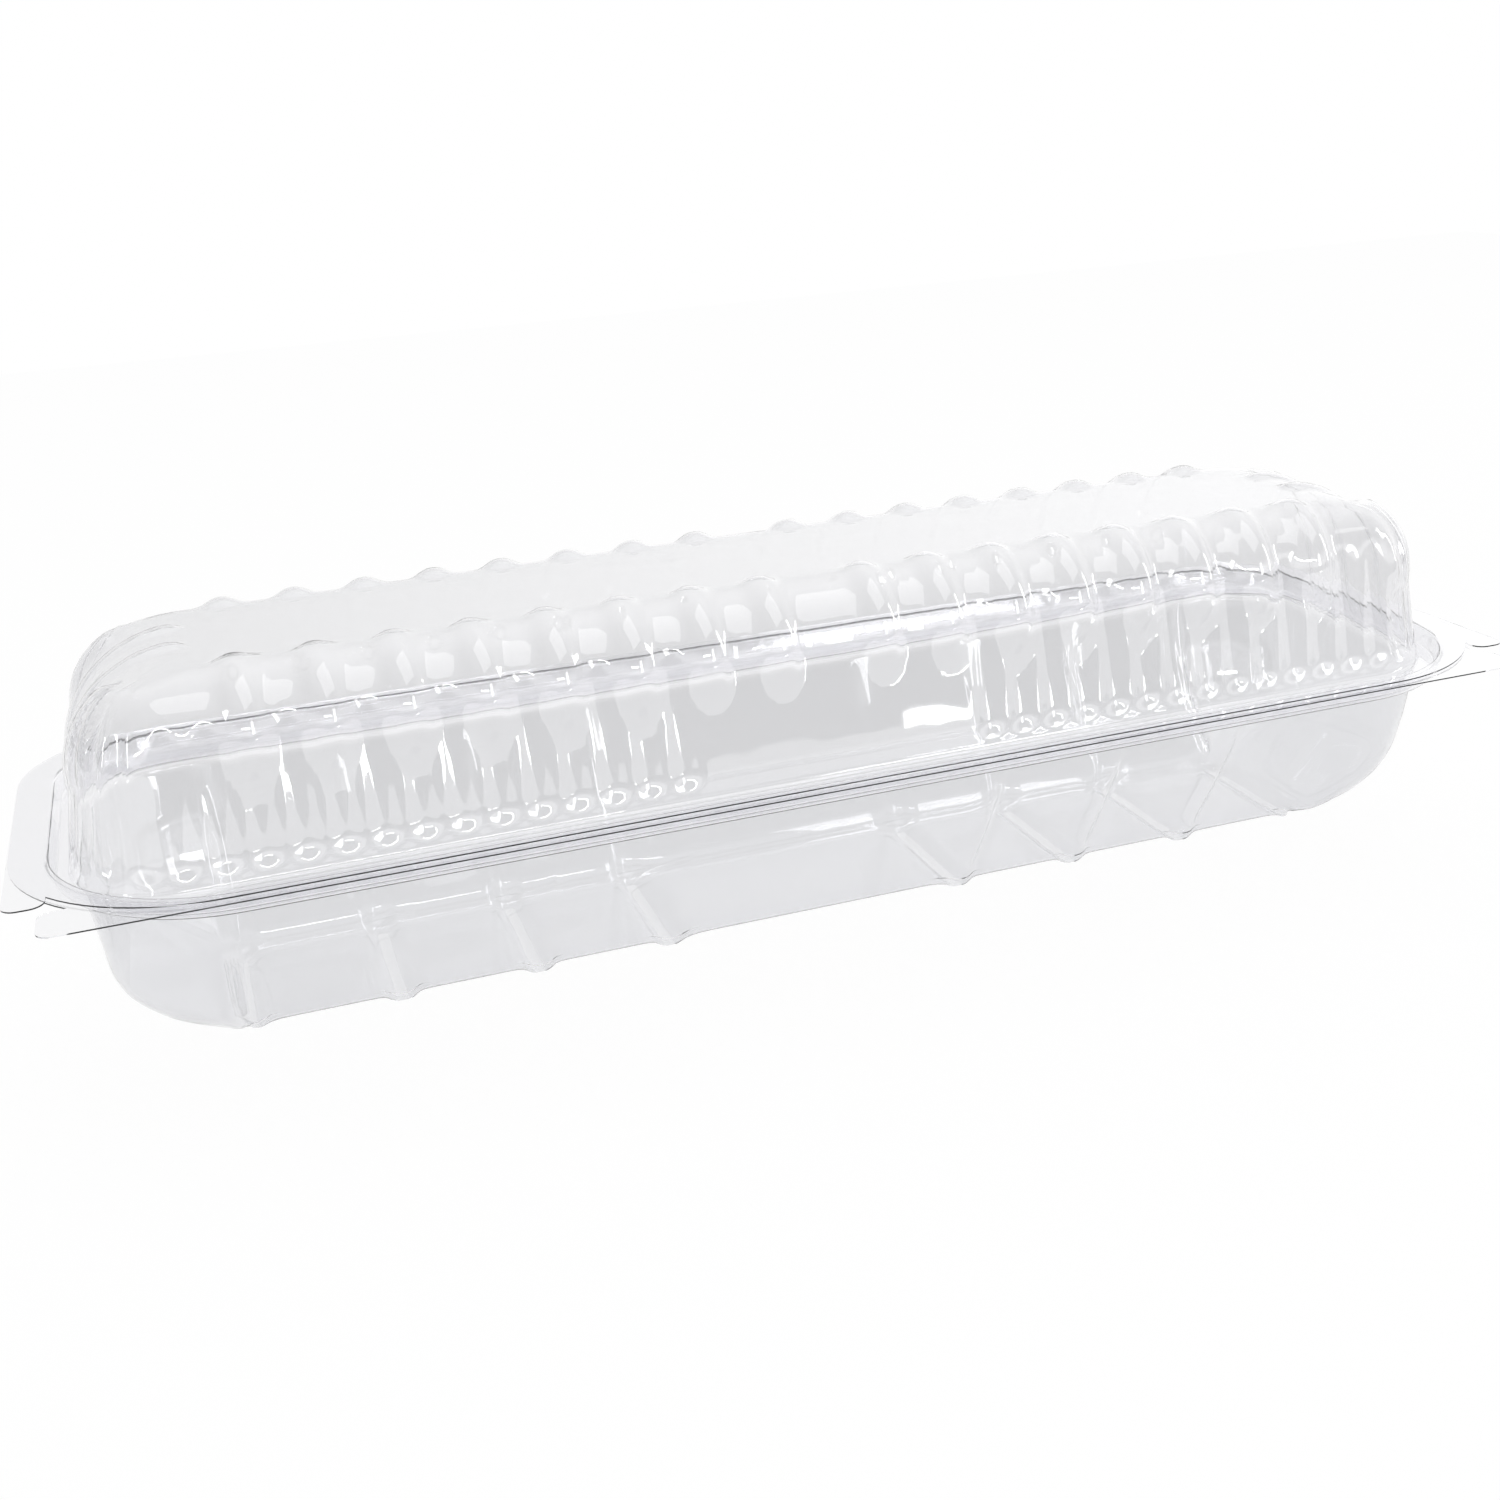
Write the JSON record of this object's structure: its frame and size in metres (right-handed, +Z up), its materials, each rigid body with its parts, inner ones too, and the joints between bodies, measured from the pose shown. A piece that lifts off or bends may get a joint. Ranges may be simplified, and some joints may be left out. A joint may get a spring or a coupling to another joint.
{
  "type": "baguette container",
  "caption": "Long clear hinged food container with a ribbed domed lid, nested rim, corner tabs and a footed trough for one baguette.",
  "frame": {"origin": "centre of the footprint, on the level surface the foot ribs stand on", "axes": "+X along the loaf, -Y toward the opening front with the two tab pairs, +Y toward the hinge, +Z up"},
  "size_m": [0.34, 0.111, 0.0853],
  "materials": {
    "base_sheet": "clear gloss",
    "lid_sheet": "clear gloss"
  },
  "bodies": {
    "base": {"base": "base_sheet"},
    "lid": {"lid": "lid_sheet"}
  },
  "joints": [
    {"name": "hinge", "type": "hinge", "parent": "base", "child": "lid", "pos_m": [0, 0.0556, 0.047], "axis": [-1, 0, 0], "range_deg": [0, 180]}
  ]
}
